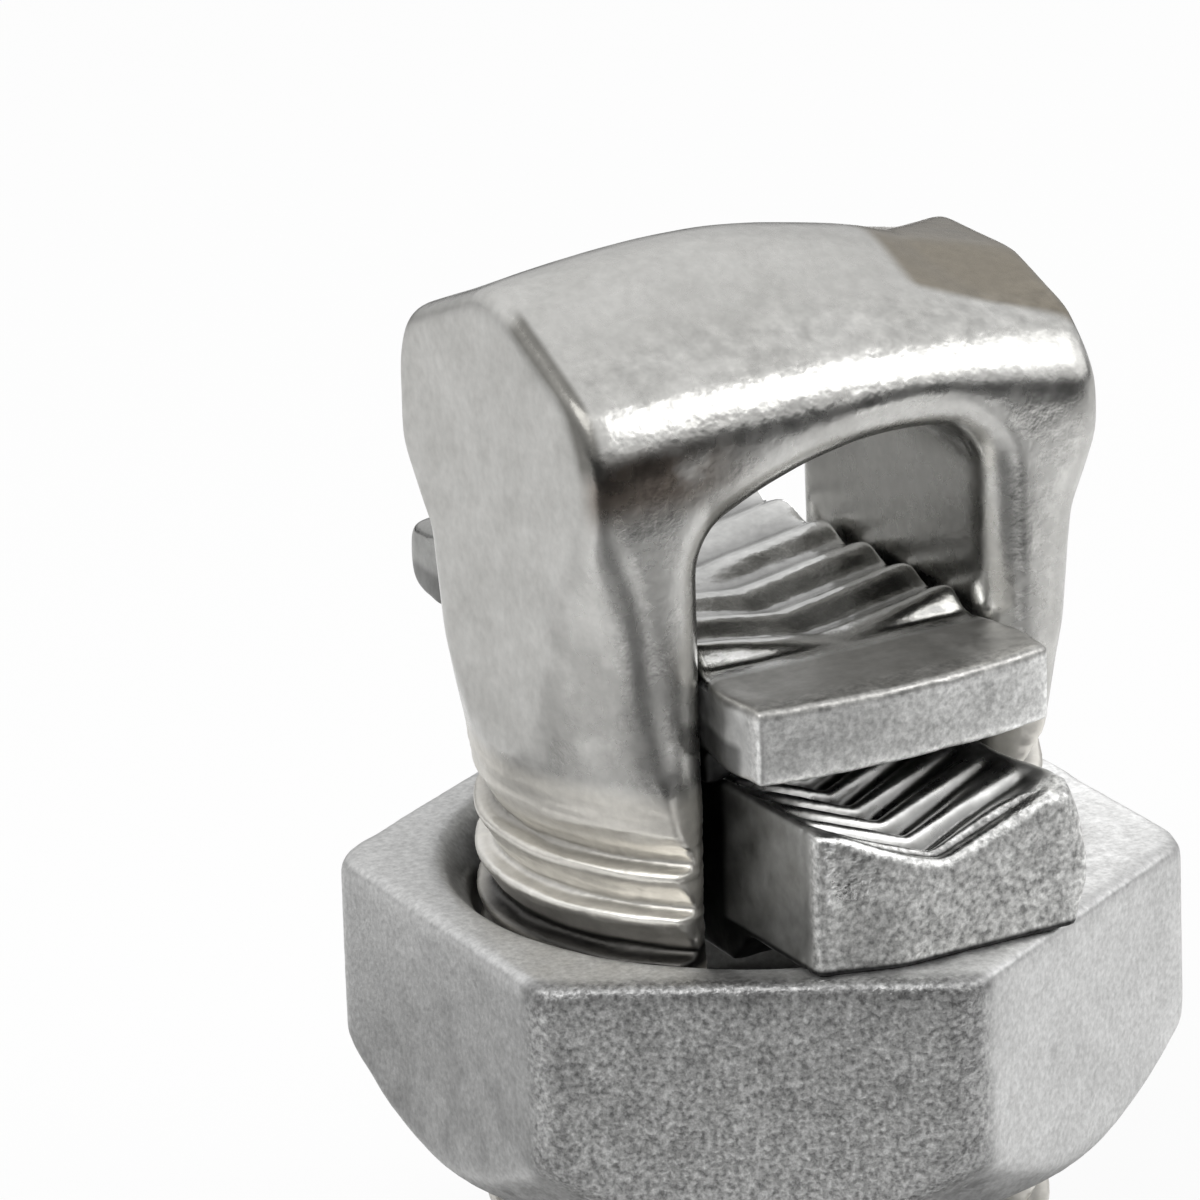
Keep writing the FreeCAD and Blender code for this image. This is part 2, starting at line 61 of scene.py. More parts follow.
# teeth and forged ends of the jaws
TOOTH_PITCH = 1.9
SPACER_MIDDLE = 2.45  # y of the middle of the spacer bar's teeth
CORNER_X, CORNER_Y = 3.6, 12.25  # where the rounded corners of the pressure bar's end begin
CORNER_POWER = 8  # 2 leaves a corner round, and more makes it squarer
LEFT_SET_BACK = 0.8
RIGHT_SWELL = 1.1
SWELL_LEAST, SWELL_MORE = 0.55, 0.45  # shares at the bar's foot and rim, and more between

# light and dark of each metal's clouds
FORGED_TIN = ((0.61, 0.605, 0.585), (0.53, 0.525, 0.505))
BLASTED_TIN = ((0.60, 0.60, 0.595), (0.53, 0.53, 0.525))
BAR_TIN = ((0.58, 0.58, 0.57), (0.48, 0.48, 0.47))
SPACER_TIN = ((0.63, 0.63, 0.62), (0.54, 0.54, 0.53))

# roughness of each metal; where there are two, the second is that of its matt ends or its teeth
BOLT_ROUGHNESS = (0.27, 0.45)
NUT_ROUGHNESS = 0.45
BAR_ROUGHNESS = (0.45, 0.3)
SPACER_ROUGHNESS = (0.42, 0.17)
THREAD_MATT = 0.7  # how far the thread goes from the bolt's first roughness to its second

# tints of places on the bolt
BOSS_BROWN = (0.275, 0.248, 0.204)
EAVES_BROWN = (0.21, 0.18, 0.155)
# grey of the painted shade in the bolt's slot, also used to darken the right end of the eaves
INNER_GREY = (0.30, 0.295, 0.28)
# grey of the painted shade on the lower front of the left leg and on the top of the upper jaw's
# lip
LEG_AND_LIP_SHADE = (0.42, 0.415, 0.40)
# grey of the painted shade along the top edge of the head's left end
BEVEL_SHADE_GREY = (0.22, 0.215, 0.20)
THREAD_TIN = (0.66, 0.64, 0.595)
# near white of the painted light on the lowest thread turn
LOW_TURN_LIGHT = (0.92, 0.90, 0.85)
# near black of the painted shadow on the thread at the nut's mouth
NUT_MOUTH_SHADOW = (0.06, 0.058, 0.055)
BOSS_TAPER = 0.4  # slope of the boss's sides as seen from above

# tints of places on the nut, and the way its front face looks
# lighter tin of the painted light on the nut's top
NUT_TOP_LIGHT = (0.66, 0.66, 0.655)
# darker tin of the painted shade on the nut's front face
FRONT_FACE_SHADE = (0.51, 0.51, 0.505)
# grey of the painted shade in the nut's bore
BORE_SHADE = (0.16, 0.16, 0.155)
FRONT_X, FRONT_Y = -0.524, -0.852

# tints of places on the jaws
SIDE_GREY = (0.34, 0.34, 0.33)
# near black of the painted shade on the bar's sides between the legs and of the painted shadow at
# its foot
CONTACT_SHADOW = (0.03, 0.03, 0.03)
# near white of the painted highlight on the upper jaw's ramps
RAMP_HIGHLIGHT = (0.97, 0.97, 0.96)
STUB_GREY = (0.37, 0.37, 0.36)
# grey of the painted shade under the upper jaw's lips
LIP_UNDER_SHADE = (0.22, 0.22, 0.215)
# near black of the painted shade on the upper jaw's skirt
SKIRT_SHADOW = (0.05, 0.05, 0.05)

# studio
SKY_LEVEL = 0.6
SKY_MORE = {"Is Camera Ray": 0.4, "Is Glossy Ray": 0.3}
FLOOR_SIZE = 1500
FLOOR_COLOUR = (0.92, 0.92, 0.92, 1)
MATT_RADIUS, WHITE_RADIUS = 9, 15  # between them the floor turns from matt to white
WHITE_SHARE = 0.9
WALL_RADIUS = 900
WALL_STEPS = 96
LAMP_AIM = (0, 0, 25)

# name, place, side and power in watts
LAMPS = (
    ("key", (-300, -150, 420), 350, 1.2),
    ("fill", (380, -200, 260), 350, 0.35),
    ("strip", (245, -300, 345), 250, 0.40),
)

# name, bottom, top and level, and the two angles in degrees that it stands between
WALLS = (
    ("dark_wall", 0.5, 160, 0.03, 180, 360),
    ("back_wall", 0.5, 160, 0.45, 0, 180),
    ("grey_wall", 160, 560, 0.75, 0, 360),
)

# name, centre, radius of the rim, radius of the full core, level and height
SHADES = (
    ("dark_front", (-60, -780), 697, 680, 0.03, 0.5),
    ("dark_back", (260, 760), 600, 580, 0.03, 0.5),
    ("front_shade", (-34, -56), 44, 16, 0.2, 0.6),
    ("rim_shade", (-76, -94), 36, 14, 0.15, 1.3),
    ("left_shade", (-32, 30), 30, 8, 0.25, 0.7),
    ("leg_shade", (-42, -27), 26, 8, 0.3, 0.8),
    ("flank_shade", (31, -80), 25, 6, 0.25, 0.9),
    ("right_light", (52, -6), 34, 18, 1.15, 1.0),
    ("leg_light", (62, -84), 26, 12, 1.5, 1.1),
    ("under_shade", (0, 0), 20, 13, 0.02, 0.3),
)


def link(obj):
    bpy.context.scene.collection.objects.link(obj)
    return obj


def place_camera():
    data = bpy.data.cameras.new("camera")
    data.lens = CAMERA_LENS
    data.sensor_width = CAMERA_SENSOR
    data.clip_start = 10 * MM
    data.clip_end = 10000 * MM
    camera = link(bpy.data.objects.new("camera", data))
    turn = Matrix((CAMERA_RIGHT, CAMERA_UP, CAMERA_BACK)).transposed().to_4x4()
    camera.matrix_world = Matrix.Translation(Vector(CAMERA_PLACE) * MM) @ turn
    bpy.context.scene.camera = camera


def mesh_object(name, points, faces):
    mesh = bpy.data.meshes.new(name)
    mesh.from_pydata([Vector(p) * MM for p in points], [], faces)
    return link(bpy.data.objects.new(name, mesh))


def make_square(name, half):
    """A level square round its own middle."""
    points = [(-half, -half, 0), (half, -half, 0), (half, half, 0), (-half, half, 0)]
    return mesh_object(name, points, [(0, 1, 2, 3)])


def groove_cutter():
    """A closed helical prism that cuts the thread's groove, whose root leans down."""
    lean = ROOT_LEAN * (MOUTH_WIDTH - ROOT_WIDTH) / 2
    count = int(round((GROOVE_TOP - GROOVE_BOTTOM) / PITCH * TURN_STEPS))
    points = []
    for i in range(count + 1):
        turn = 2 * math.pi * i / TURN_STEPS
        height = GROOVE_BOTTOM + PITCH * i / TURN_STEPS
        left = min(1.0, (count - i) / (RUN_OUT * TURN_STEPS))
        foot = MOUTH_RADIUS + (ROOT_RADIUS - MOUTH_RADIUS) * left
        half = ROOT_WIDTH / 2 * left + RUN_OUT_ROOT
        wide = MOUTH_WIDTH / 2 * left + RUN_OUT_MOUTH
        sink = height - lean * left
        corners = (
            (MOUTH_RADIUS, height - wide),
            (MOUTH_RADIUS, height + wide),
            (foot, sink + half),
            (foot, sink - half),
        )
        points += [(r * math.cos(turn), r * math.sin(turn), z) for r, z in corners]
    faces = []
    for i in range(count):
        a, b = 4 * i, 4 * i + 4
        for k in range(4):
            n = (k + 1) % 4
            faces.append((a + k, b + k, b + n, a + n))
    last = 4 * count
    faces.append((0, 1, 2, 3))
    faces.append((last + 3, last + 2, last + 1, last))
    obj = mesh_object("groove", points, faces)
    shape = bmesh.new()
    shape.from_mesh(obj.data)
    bmesh.ops.recalc_face_normals(shape, faces=shape.faces)
    shape.to_mesh(obj.data)
    shape.free()
    return obj


def solid_copy(node, name):
    """A watertight copy of a node of the frame."""
    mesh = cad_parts[node].data.copy()
    mesh.name = name
    shape = bmesh.new()
    shape.from_mesh(mesh)
    bmesh.ops.remove_doubles(shape, verts=shape.verts, dist=0.0001 * MM)
    shape.to_mesh(mesh)
    shape.free()
    mesh.materials.clear()
    return link(bpy.data.objects.new(name, mesh))


def settle(obj):
    """Writes what the modifiers make into the object's own mesh."""
    graph = bpy.context.evaluated_depsgraph_get()
    mesh = bpy.data.meshes.new_from_object(obj.evaluated_get(graph))
    obj.modifiers.clear()
    old = obj.data
    obj.data = mesh
    bpy.data.meshes.remove(old)


def cut(obj, cutter):
    boolean = obj.modifiers.new("cut", "BOOLEAN")
    boolean.operation = "DIFFERENCE"
    boolean.solver = "EXACT"
    boolean.object = cutter
    settle(obj)
    bpy.data.objects.remove(cutter)


def shade_smooth(obj):
    for face in obj.data.polygons:
        face.use_smooth = True


def regrid(obj, voxel):
    """Even small faces over the whole surface."""
    grid = obj.modifiers.new("grid", "REMESH")
    grid.mode = "VOXEL"
    grid.voxel_size = voxel * MM
    settle(obj)
    shade_smooth(obj)


def thin_out(obj, kept):
    """Fewer faces, with the shading of the dense mesh."""
    dense = link(bpy.data.objects.new("dense", obj.data.copy()))
    thin = obj.modifiers.new("thin", "DECIMATE")
    thin.ratio = kept
    settle(obj)
    shade_smooth(obj)
    carry = obj.modifiers.new("carry", "DATA_TRANSFER")
    carry.object = dense
    carry.use_loop_data = True
    carry.data_types_loops = {"CUSTOM_NORMAL"}
    carry.loop_mapping = "POLYINTERP_NEAREST"
    carry.use_vert_data = True
    carry.data_types_verts = {"COLOR_VERTEX"}
    carry.vert_mapping = "POLYINTERP_NEAREST"
    settle(obj)
    bpy.data.objects.remove(dense)


def step(values, start, end):
    """0 up to the start and 1 from the end, which may be the lower one, smooth between them."""
    share = np.clip((values - start) / (end - start), 0, 1)
    return share * share * (3 - 2 * share)


def read_spots(mesh):
    """The places of the mesh's points, in metres as Blender keeps them."""
    spots = np.empty(len(mesh.vertices) * 3, np.float32)
    mesh.vertices.foreach_get("co", spots)
    return spots.reshape(-1, 3).astype(float)


def write_spots(mesh, spots):
    mesh.vertices.foreach_set("co", spots.astype(np.float32).ravel())
    mesh.update()


def read_normals(mesh):
    normals = np.empty(len(mesh.vertices) * 3, np.float32)
    mesh.vertex_normals.foreach_get("vector", normals)
    return normals.reshape(-1, 3)


def facing_up(mesh):
    return step(read_normals(mesh)[:, 2], 0.3, 0.7)


def evened(mesh, spots, rounds, pull=0.5):
    """The spots, drawn round after round towards the middle of their neighbours."""
    count = len(spots)
    edges = np.empty(len(mesh.edges) * 2, np.int32)
    mesh.edges.foreach_get("vertices", edges)
    one, other = edges.reshape(-1, 2).T
    joined = np.maximum(np.bincount(edges, minlength=count), 1)[:, None]
    for _ in range(rounds):
        total = np.stack(
            [
                np.bincount(one, spots[other, k], count) + np.bincount(other, spots[one, k], count)
                for k in range(3)
            ],
            axis=1,
        )
        spots = spots + pull * (total / joined - spots)
    return spots


def soften(obj, rounds, share=None):
    """Rounds edges off, everywhere or where a share of x, y and z says."""
    spots = read_spots(obj.data)
    pull = 0.5 if share is None else 0.5 * share(*(spots / MM).T)[:, None]
    write_spots(obj.data, evened(obj.data, spots, rounds, pull))


def relief(obj, size, height, share=None, stretch=(1, 1, 1)):
    """Moves the surface in and out by noise of a size and a height."""
    mesh = obj.data
    spots = read_spots(mesh)
    values = np.array([noise.noise(Vector(p)) for p in spots / (size * MM * np.array(stretch))])
    if share is not None:
        values *= share(*(spots / MM).T)
    spots += read_normals(mesh) * values[:, None] * height * MM
    write_spots(mesh, spots)


def end_notches(obj, place, half, depth):
    """A shallow notch across the pressure bar's trough near each end."""
    mesh = obj.data
    spots = read_spots(mesh)
    x, y, z = (spots / MM).T
    notch = np.clip(1 - abs(abs(y) - place) / half, 0, 1)
    trough = facing_up(mesh) * step(z, 23.4, 23.9) * step(abs(x), 5.3, 2.0)
    spots[:, 2] -= notch * trough * depth * MM
    write_spots(mesh, spots)


def tip_teeth(obj, lean, depth, share):
    """Tips the crests of teeth towards the bar's ends and cuts their notches deeper."""
    mesh = obj.data
    spots = read_spots(mesh)
    x, y, z = (spots / MM).T
    crest = 0.5 - 0.5 * np.cos(2 * np.pi * y / TOOTH_PITCH)
    part = share(x, y, z) * facing_up(mesh)
    spots[:, 1] += lean * np.sign(y) * crest * part * MM
    spots[:, 2] -= depth * (1 - crest) * part * MM
    write_spots(mesh, spots)


def forge_end(obj):
    """Squarer corners on the bar's front end, the left one set back and the right one swollen."""
    spots = read_spots(obj.data) / MM
    x, y, z = spots.T
    over_x, over_y = np.maximum(abs(x) - CORNER_X, 0), np.maximum(-y - CORNER_Y, 0)
    square = (over_x**CORNER_POWER + over_y**CORNER_POWER) ** (1 / CORNER_POWER)
    longer = np.hypot(over_x, over_y) / np.maximum(square, 1e-6)
    grow = np.where((over_x > 0) & (over_y > 0), longer, 1.0) - 1
    x, y = x + np.sign(x) * over_x * grow, y - over_y * grow
    y = y + LEFT_SET_BACK * step(-x, 1.5, 5.0) * step(-y, 10.5, 13.5)
    belly = SWELL_LEAST + SWELL_MORE * step(z, 20.8, 22.8) * step(z, 26.4, 24.4)
    x = x + RIGHT_SWELL * step(x, 2.0, 5.2) * step(-y, 8.8, 12.5) * belly
    write_spots(obj.data, np.stack([x, y, z], axis=1) * MM)


def mark_edges(obj, rounds, depth):
    """Keeps in each point how far it stands out: 0 in a valley, 0.5 on a flat, 1 on a crest."""
    mesh = obj.data
    spots = read_spots(mesh)
    out = ((spots - evened(mesh, spots, rounds)) * read_normals(mesh)).sum(axis=1) / (depth * MM)
    values = np.clip(0.5 + 0.5 * out, 0, 1)
    colours = np.repeat(values[:, None], 4, axis=1)
    layer = mesh.color_attributes.new("edges", "FLOAT_COLOR", "POINT")
    layer.data.foreach_set("color", colours.astype(np.float32).ravel())


class Nodes:
    """Short ways to make and join the shader nodes of a new material or world."""

    def __init__(self, owner):
        self.owner = owner
        owner.use_nodes = True
        self.tree = owner.node_tree
        self.tree.nodes.clear()

    def add(self, kind, inputs=None, **settings):
        """A node, with its settings and with sockets or plain values at its inputs."""
        node = self.tree.nodes.new(kind)
        for key, value in settings.items():
            setattr(node, key, value)
        for key, value in (inputs or {}).items():
            if isinstance(value, bpy.types.NodeSocket):
                self.tree.links.new(value, node.inputs[key])
            else:
                node.inputs[key].default_value = value
        return node

    def where(self):
        return self.add("ShaderNodeTexCoord").outputs["Object"]

    def length(self, vector):
        return self.add("ShaderNodeVectorMath", {0: vector}, operation="LENGTH").outputs["Value"]

    def noise(self, where, size, detail, roughness):
        """Noise whose grains are about that many millimetres."""
        inputs = {
            "Vector": where,
            "Scale": 1 / (size * MM),
            "Detail": detail,
            "Roughness": roughness,
        }
        return self.add("ShaderNodeTexNoise", inputs).outputs["Fac"]

    def spread(self, value, old, new):
        """The value, carried from an old range to a new one."""
        inputs = {0: value, 1: old[0], 2: old[1], 3: new[0], 4: new[1]}
        return self.add("ShaderNodeMapRange", inputs).outputs[0]

    def between(self, share, ends):
        """From the first end to the second as the share goes from 0 to 1."""
        return self.spread(share, (0.0, 1.0), ends)

    def fade(self, value, start, end, most=1.0):
        """0 up to the start and the most from the end, smooth between them."""
        inputs = {0: value, 1: start * MM, 2: end * MM, 3: 0.0, 4: most}
        node = self.add("ShaderNodeMapRange", inputs, interpolation_type="SMOOTHSTEP")
        return node.outputs[0]

    def calc(self, operation, first, second):
        return self.add("ShaderNodeMath", {0: first, 1: second}, operation=operation).outputs[0]

    def product(self, first, *others):
        for other in others:
            first = self.calc("MULTIPLY", first, other)
        return first

    def only(self, share, value):
        """The value where the share is 1 or not given, and 1 where it is 0."""
        if share is None:
            return value
        inputs = {0: share, 2: 1.0, 3: value}
        return self.add("ShaderNodeMix", inputs, data_type="FLOAT").outputs[0]

    def mix(self, share, first, second, kind="MIX"):
        """Two colours mixed, each a socket or three numbers."""
        inputs = {0: share}
        for key, value in ((6, first), (7, second)):
            inputs[key] = (*value, 1) if isinstance(value, tuple) else value
        node = self.add("ShaderNodeMix", inputs, data_type="RGBA", blend_type=kind)
        return node.outputs[2]

    def ramp(self, value, stops):
        """Colours along a value, with two stops of a place and a colour."""
        node = self.add("ShaderNodeValToRGB", {"Fac": value})
        for element, (place, colour) in zip(node.color_ramp.elements, stops):
            element.position = place
            element.color = (*colour, 1)
        return node.outputs["Color"]

    def bump(self, height, distance, strength=1.0, normal=None):
        inputs = {"Height": height, "Distance": distance * MM, "Strength": strength}
        if normal is not None:
            inputs["Normal"] = normal
        return self.add("ShaderNodeBump", inputs).outputs["Normal"]

    def glow(self, level):
        return self.add("ShaderNodeEmission", {"Color": (level, level, level, 1), "Strength": 1.0})

    def blend(self, share, first, second):
        """A shader that goes from the first to the second."""
        inputs = {0: share, 1: first.outputs[0], 2: second.outputs[0]}
        return self.add("ShaderNodeMixShader", inputs)

    def close(self, shader, kind="ShaderNodeOutputMaterial"):
        """Joins the shader to the output and gives back the material or world."""
        self.add(kind, {"Surface": shader.outputs[0]})
        return self.owner


class Metal:
    """Tin plate on bronze: cloudy tone, grain that glitters, tints and gentle waves."""

    def __init__(self, name, light, dark, cloud=3.0):
        self.n = n = Nodes(bpy.data.materials.new(name))
        self.where = n.where()
        axes = n.add("ShaderNodeSeparateXYZ", {"Vector": self.where}).outputs
        self.x, self.y, self.z = axes[0], axes[1], axes[2]
        flat = n.add("ShaderNodeCombineXYZ", {"X": self.x, "Y": self.y})
        self.radius = n.length(flat.outputs[0])
        clouds = n.noise(self.where, size=cloud, detail=4.0, roughness=0.6)
        self.colour = n.ramp(clouds, [(0.35, dark), (0.65, light)])
        waves = n.noise(self.where, size=1.6, detail=2.0, roughness=0.5)
        self.normal = n.bump(waves, distance=0.02)

    def zone(self, *edges):
        """1 where every coordinate is past its edge, which goes from a start to an end."""
        return self.n.product(*[self.n.fade(axis, start, end) for axis, start, end in edges])

    def tint(self, share, colour):
        self.colour = self.n.mix(share, self.colour, colour)

    def wear_shade_and_sheen(self, valley, crest, share=None):
        """Other tones in valleys and on crests, as factors: partly wear, partly painted shade in
        the valleys and painted highlights on the crests; a crest factor below 1 paints shade on
        the crests instead.
        """
        n = self.n
        standing_out = n.add("ShaderNodeAttribute", attribute_name="edges").outputs["Fac"]
        low = n.spread(standing_out, (0.15, 0.5), (valley, 1.0))
        high = n.spread(standing_out, (0.5, 0.85), (1.0, crest))
        self.colour = n.mix(1.0, self.colour, n.only(share, n.product(low, high)), "MULTIPLY")

    def grains(self, size, contrast, depth, share=None):
        """Fine grain in tone and in relief, all over or on a share of the surface."""
        n = self.n
        fine = n.noise(self.where, size, detail=2.0, roughness=0.6)
        speck = n.spread(fine, (0.3, 0.7), (1 - contrast, 1 + contrast))
        self.colour = n.mix(1.0, self.colour, n.only(share, speck), "MULTIPLY")
        self.normal = n.bump(fine, depth, 1.0 if share is None else share, self.normal)

    def finish(self, rough):
        """The material; rough is a number or a socket, and varies a little from patch to patch."""
        n = self.n
        patches = n.noise(self.where, size=1.4, detail=3.0, roughness=0.6)
        inputs = {
            "Base Color": self.colour,
            "Metallic": 1.0,
            "Roughness": n.product(n.spread(patches, (0.3, 0.7), (0.8, 1.2)), rough),
            "Normal": self.normal,
        }
        return n.close(n.add("ShaderNodeBsdfPrincipled", inputs))


def dress(obj, material, body, node):
    obj.data.materials.clear()
    obj.data.materials.append(material)
    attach(obj, body)
    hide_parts(node)


def bolt_metal():
    m = Metal("tin_plate", *FORGED_TIN)
    n = m.n
    front_side = n.calc("ADD", m.y, n.product(m.x, BOSS_TAPER))
    back_side = n.calc("ADD", m.y, n.product(m.x, -BOSS_TAPER))
    across = ((front_side, -1.8, -1.1), (back_side, 1.8, 1.1))
    boss = m.zone((m.x, 4.9, 5.7), (m.x, 11.28, 11.1), *across, (m.z, 39.5, 40.5))
    m.tint(boss, BOSS_BROWN)

    blotches = n.noise(m.where, size=2.2, detail=3.0, roughness=0.6)
    patchy = n.spread(blotches, (0.3, 0.5), (0.2, 1.0))
    eaves = m.zone((m.z, 37.4, 39.2), (m.z, 41.2, 40.2), (m.y, -6.3, -7.4))
    left = m.zone((m.x, -3.0, -8.0))
    m.tint(n.product(eaves, left, patchy), EAVES_BROWN)
    right = m.zone((m.x, 8.5, 10.2))
    m.tint(n.product(eaves, right, 0.5), INNER_GREY)
    # painted shade, in blotches, on the lower front of the left leg
    low_leg_shade = m.zone((m.z, 35.5, 32.0), (m.z, 26.5, 27.5), (m.y, -2.5, -5.0), (m.x, -6.6, -7.6))
    m.tint(n.product(low_leg_shade, patchy), LEG_AND_LIP_SHADE)
    # painted shade along the top edge of the head's left end, on its front half
    rim = ((m.x, -10.45, -10.75), (m.x, -11.27, -11.12))
    bevel_shade = m.zone(*rim, (m.y, -1.0, -2.0), (m.z, 39.5, 40.5))
    m.tint(bevel_shade, BEVEL_SHADE_GREY)

    thread = m.zone((m.z, 27.4, 26.4))
    m.tint(thread, THREAD_TIN)
    # darker groove valleys and lighter crests on the thread: partly wear, partly painted shade in
    # the grooves and painted highlights on the crests
    m.wear_shade_and_sheen(valley=0.65, crest=1.15, share=thread)
    # painted light on the lowest thread turn above the nut
    low_turn = m.zone((m.z, 22.3, 21.7), (m.z, 20.5, 20.9))
    m.tint(low_turn, LOW_TURN_LIGHT)
    # painted shadow: a dark ring on the thread where the nut's mouth sits
    nut_line = m.zone((m.z, 20.8, 20.5), (m.z, 19.7, 20.0))
    m.tint(nut_line, NUT_MOUTH_SHADOW)
    # painted shade on the faces of the slot between the legs
    slot_shade = m.zone((m.x, -6.5, -6.0), (m.x, 6.5, 6.0), (m.z, 39.0, 38.0))
    m.tint(slot_shade, INNER_GREY)

    m.grains(size=0.45, contrast=0.06, depth=0.012)
    roof_front = m.zone((m.y, -3.0, -5.0), (m.z, 40.4, 41.2), (m.x, -11.0, -10.0))
    m.grains(size=0.8, contrast=0.16, depth=0.05, share=roof_front)
    ends = n.calc("ADD", m.zone((m.x, -10.9, -11.2)), m.zone((m.x, 10.9, 11.2)))
    ends = n.product(ends, m.zone((m.z, 26.5, 28.0)))
    matt = n.calc("MAXIMUM", ends, n.product(thread, THREAD_MATT))
    return m.finish(n.between(matt, BOLT_ROUGHNESS))


def above_thread(x, y, z):
    return step(z, 26.8, 28.2)


def on_thread(x, y, z):
    return step(z, 27.0, 26.2)


def leg_creases(x, y, z):
    """The upright edges where the flanks meet the ends and the turned legs."""
    upright = step(z, 26.8, 28.4) * step(z, 43.0, 41.0)
    return upright * step(abs(x), 7.4, 8.8) * step(abs(y), 4.5, 6.0)


def front_left_crease(x, y, z):
    return leg_creases(x, y, z) * step(x, -7.0, -8.0) * step(y, -4.0, -5.0)


def boss_end(x, y, z):
    return step(x, 6.5, 8.5) * step(z, 39.5, 41.0)


def make_bolt():
    obj = solid_copy("split_bolt", "forged_bolt")
    cut(obj, groove_cutter())
    regrid(obj, BOLT_VOXEL)
    soften(obj, rounds=1)
    soften(obj, rounds=8, share=above_thread)
    soften(obj, rounds=30, share=leg_creases)
    soften(obj, rounds=90, share=front_left_crease)
    soften(obj, rounds=30, share=boss_end)
    relief(obj, size=5.0, height=0.05)
    relief(obj, size=1.6, height=0.02)
    relief(obj, size=1.0, height=0.05, share=on_thread, stretch=(2.5, 2.5, 0.25))
    mark_edges(obj, rounds=30, depth=0.12)
    thin_out(obj, BOLT_KEPT)
    dress(obj, bolt_metal(), "bolt", "split_bolt")


def nut_metal():
    m = Metal("blasted_tin", *BLASTED_TIN, cloud=5.0)
    n = m.n
    # painted light: the nut's top face is made lighter
    top = m.zone((m.z, 20.45, 20.65))
    m.tint(top, NUT_TOP_LIGHT)
    out = n.calc("ADD", n.product(m.x, FRONT_X), n.product(m.y, FRONT_Y))
    front = m.zone((out, 13.1, 14.1))
    # painted shade: the nut's front face is made darker
    m.tint(front, FRONT_FACE_SHADE)
    # darker crests along the front face's edges: painted shade that dims their highlights
    m.wear_shade_and_sheen(valley=1.0, crest=0.55, share=m.zone((out, 12.9, 13.5)))
    # painted shade in the nut's bore below its top
    bore = m.zone((m.z, 20.0, 19.0), (m.radius, 12.0, 11.4))
    m.tint(bore, BORE_SHADE)
    m.grains(size=0.24, contrast=0.16, depth=0.02)
    m.grains(size=0.22, contrast=0.5, depth=0.04, share=front)
    return m.finish(NUT_ROUGHNESS)


def make_nut():
    obj = solid_copy("hex_nut", "blasted_nut")
    regrid(obj, NUT_VOXEL)
    soften(obj, rounds=9)
    relief(obj, size=2.5, height=0.03)
    relief(obj, size=0.8, height=0.015)
    mark_edges(obj, rounds=30, depth=0.2)
    thin_out(obj, NUT_KEPT)
    dress(obj, nut_metal(), "nut", "hex_nut")


def lower_jaw_metal():
    m = Metal("lower_jaw_tin", *BAR_TIN)
    n = m.n
    sides = n.calc("ADD", m.zone((m.x, -4.7, -5.0)), m.zone((m.x, 4.7, 5.0)))
    sides = n.product(sides, m.zone((m.y, -12.8, -12.0)))
    m.tint(sides, SIDE_GREY)
    width = ((m.x, -5.1, -4.8), (m.x, 5.1, 4.8))
    teeth = m.zone((m.z, 23.4, 23.8), *width, (m.y, -13.7, -13.4))
    # lighter crests and darker notches on the teeth, and the same more mildly all over: painted
    # highlights and painted shade as well as wear
    m.wear_shade_and_sheen(valley=0.6, crest=1.6, share=teeth)
    m.wear_shade_and_sheen(valley=0.9, crest=1.1)
    # painted shade on the bar's sides between the legs
    between_legs = m.zone((m.y, -6.5, -5.9), (m.y, 6.5, 5.9))
    m.tint(n.product(sides, between_legs), CONTACT_SHADOW)
    # painted shadow: a dark line along the bar's foot, where it sits on the nut
    foot = m.zone((m.z, 21.15, 20.95))
    m.tint(foot, CONTACT_SHADOW)
    front = m.zone((m.y, -12.2, -12.7))
    m.grains(size=0.26, contrast=0.5, depth=0.03, share=front)
    m.grains(size=0.5, contrast=0.1, depth=0.015)
    return m.finish(n.between(teeth, BAR_ROUGHNESS))


def tooth_flanks(x, y, z):
    return step(abs(x), 5.0, 4.2) * step(abs(y), 12.7, 12.2) * step(z, 23.2, 23.6)


def tooth_tops(x, y, z):
    return step(abs(x), 5.0, 4.5) * step(z, 23.5, 24.2)


def trough_ends(x, y, z):
    return step(abs(y), 12.9, 13.4) * step(z, 23.6, 24.2)


def make_lower_jaw():
    obj = solid_copy("pressure_bar", "lower_jaw")
    regrid(obj, JAW_VOXEL)
    soften(obj, rounds=4)
    end_notches(obj, place=12.85, half=0.62, depth=0.5)
    tip_teeth(obj, lean=0.45, depth=0.3, share=tooth_flanks)
    soften(obj, rounds=16, share=tooth_tops)
    forge_end(obj)
    soften(obj, rounds=40, share=trough_ends)
    relief(obj, size=2.0, height=0.04)
    relief(obj, size=0.7, height=0.015)
    mark_edges(obj, rounds=40, depth=0.12)
    thin_out(obj, JAW_KEPT)
    dress(obj, lower_jaw_metal(), "bar", "pressure_bar")


